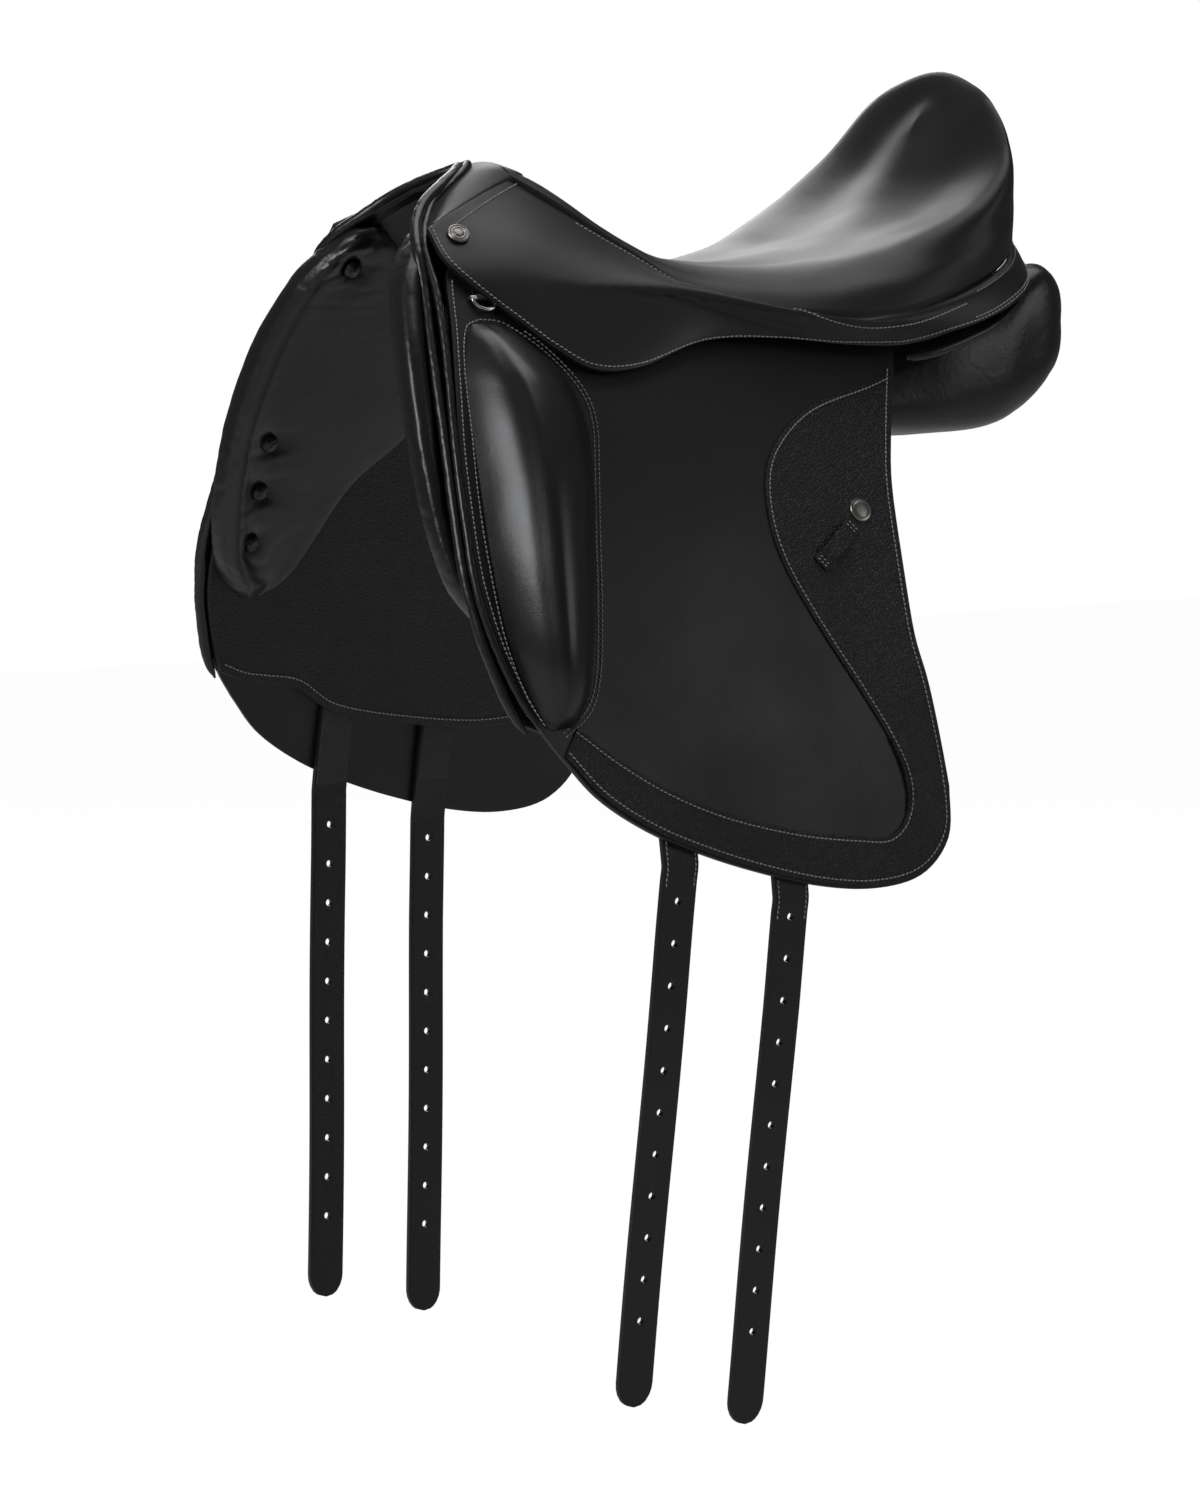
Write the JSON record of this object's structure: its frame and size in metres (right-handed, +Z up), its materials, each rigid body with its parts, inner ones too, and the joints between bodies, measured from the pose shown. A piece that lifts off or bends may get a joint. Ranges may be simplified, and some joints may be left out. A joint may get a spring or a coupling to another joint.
{
  "type": "dressage saddle",
  "caption": "Black leather dressage saddle with deep seat, long straight flaps, knee blocks, grained calf patches, wool panels and long hanging girth billets",
  "frame": {"origin": "on the centre line, in the plane the panels rest on, under the middle of the seat", "axes": "+X to the near (left) side, +Y to the cantle, +Z up"},
  "size_m": [0.466, 0.5303, 0.8748],
  "materials": {
    "smooth_leather": "smooth black leather, semi-matt",
    "gloss_leather": "soft polished black leather",
    "grained_leather": "pebble-grained black leather",
    "strap_leather": "waxed black strap leather",
    "webbing": "ribbed black webbing",
    "pewter": "antiqued nickel",
    "bright_steel": "polished",
    "steel": "forged and ground steel",
    "beech": "laminated beech",
    "canvas": "unbleached canvas web",
    "foam": "seat foam"
  },
  "bodies": {
    "root": {"tree": "beech", "head_plate": "steel", "spring_steels": "steel", "tree_rivets": "steel", "seat_webs": "canvas", "seat_foam": "foam", "seat_cover": "smooth_leather", "pommel_cover": "smooth_leather", "gullet_lining": "smooth_leather", "skirt_top_left": "smooth_leather", "skirt_top_right": "smooth_leather", "skirt_stud_left": "pewter", "skirt_stud_right": "pewter", "stirrup_bar_left": "steel", "stirrup_bar_right": "steel", "flap_top_left": "smooth_leather", "flap_top_right": "smooth_leather", "sweat_flap_left": "grained_leather", "sweat_flap_right": "grained_leather", "welts_left": "gloss_leather", "welts_right": "gloss_leather", "girth_webs_left": "webbing", "girth_webs_right": "webbing", "billet_tops_left": "strap_leather", "billet_tops_right": "strap_leather", "front_panel_left": "gloss_leather", "front_panel_right": "gloss_leather", "tuft_buttons_left": "gloss_leather", "tuft_buttons_right": "gloss_leather", "panel_left": "gloss_leather", "panel_right": "gloss_leather", "panel_rim_left": "gloss_leather", "panel_rim_right": "gloss_leather", "ring_chape_left": "smooth_leather", "ring_chape_right": "smooth_leather"},
    "left_flap": {"flap_left": "smooth_leather", "flap_trim_left": "grained_leather", "knee_block_left": "gloss_leather", "keeper_left": "grained_leather", "flap_badge_left": "pewter"},
    "left_skirt": {"skirt_left": "smooth_leather"},
    "left_front_billet": {"front_billet_left": "strap_leather"},
    "left_rear_billet": {"rear_billet_left": "strap_leather"},
    "left_ring": {"saddle_ring_left": "bright_steel"},
    "left_bar_catch": {"bar_catch_left": "steel"},
    "right_flap": {"flap_right": "smooth_leather", "flap_trim_right": "grained_leather", "knee_block_right": "gloss_leather", "keeper_right": "grained_leather", "flap_badge_right": "pewter"},
    "right_skirt": {"skirt_right": "smooth_leather"},
    "right_front_billet": {"front_billet_right": "strap_leather"},
    "right_rear_billet": {"rear_billet_right": "strap_leather"},
    "right_ring": {"saddle_ring_right": "bright_steel"},
    "right_bar_catch": {"bar_catch_right": "steel"}
  },
  "joints": [
    {"name": "left_flap_lift", "type": "hinge", "parent": "root", "child": "left_flap", "pos_m": [0.09174, -0.217, 0.097], "axis": [-0.0575, -0.9941, 0.0923], "range_deg": [0, 50]},
    {"name": "right_flap_lift", "type": "hinge", "parent": "root", "child": "right_flap", "pos_m": [-0.09174, -0.217, 0.097], "axis": [-0.0575, 0.9941, -0.0923], "range_deg": [0, 50]},
    {"name": "left_skirt_lift", "type": "hinge", "parent": "root", "child": "left_skirt", "pos_m": [0.09798, -0.217, 0.104], "axis": [-0.0579, -0.994, 0.0923], "range_deg": [0, 50]},
    {"name": "right_skirt_lift", "type": "hinge", "parent": "root", "child": "right_skirt", "pos_m": [-0.09798, -0.217, 0.104], "axis": [-0.0579, 0.994, -0.0923], "range_deg": [0, 50]},
    {"name": "left_front_billet_swing", "type": "hinge", "parent": "root", "child": "left_front_billet", "pos_m": [0.22107, -0.133, -0.25], "axis": [0, -1, 0], "range_deg": [-20, 60]},
    {"name": "right_front_billet_swing", "type": "hinge", "parent": "root", "child": "right_front_billet", "pos_m": [-0.22107, -0.133, -0.25], "axis": [0, 1, 0], "range_deg": [-20, 60]},
    {"name": "left_rear_billet_swing", "type": "hinge", "parent": "root", "child": "left_rear_billet", "pos_m": [0.22509, -0.05, -0.277], "axis": [0, -1, 0], "range_deg": [-20, 60]},
    {"name": "right_rear_billet_swing", "type": "hinge", "parent": "root", "child": "right_rear_billet", "pos_m": [-0.22509, -0.05, -0.277], "axis": [0, 1, 0], "range_deg": [-20, 60]},
    {"name": "left_ring_swing", "type": "hinge", "parent": "root", "child": "left_ring", "pos_m": [0.09146, -0.198, 0.10585], "axis": [0, -1, 0], "range_deg": [0, 40]},
    {"name": "right_ring_swing", "type": "hinge", "parent": "root", "child": "right_ring", "pos_m": [-0.09146, -0.198, 0.10585], "axis": [0, 1, 0], "range_deg": [0, 40]},
    {"name": "left_catch_turn", "type": "hinge", "parent": "root", "child": "left_bar_catch", "pos_m": [0.09104, -0.052, 0.09926], "axis": [0.8368, 0, 0.5475], "range_deg": [0, 90]},
    {"name": "right_catch_turn", "type": "hinge", "parent": "root", "child": "right_bar_catch", "pos_m": [-0.09104, -0.052, 0.09926], "axis": [0.8368, 0, -0.5475], "range_deg": [0, 90]}
  ],
  "couplings": [
    {"joint": "left_skirt_lift", "follows": "left_flap_lift", "ratio": 1},
    {"joint": "right_skirt_lift", "follows": "right_flap_lift", "ratio": 1}
  ]
}
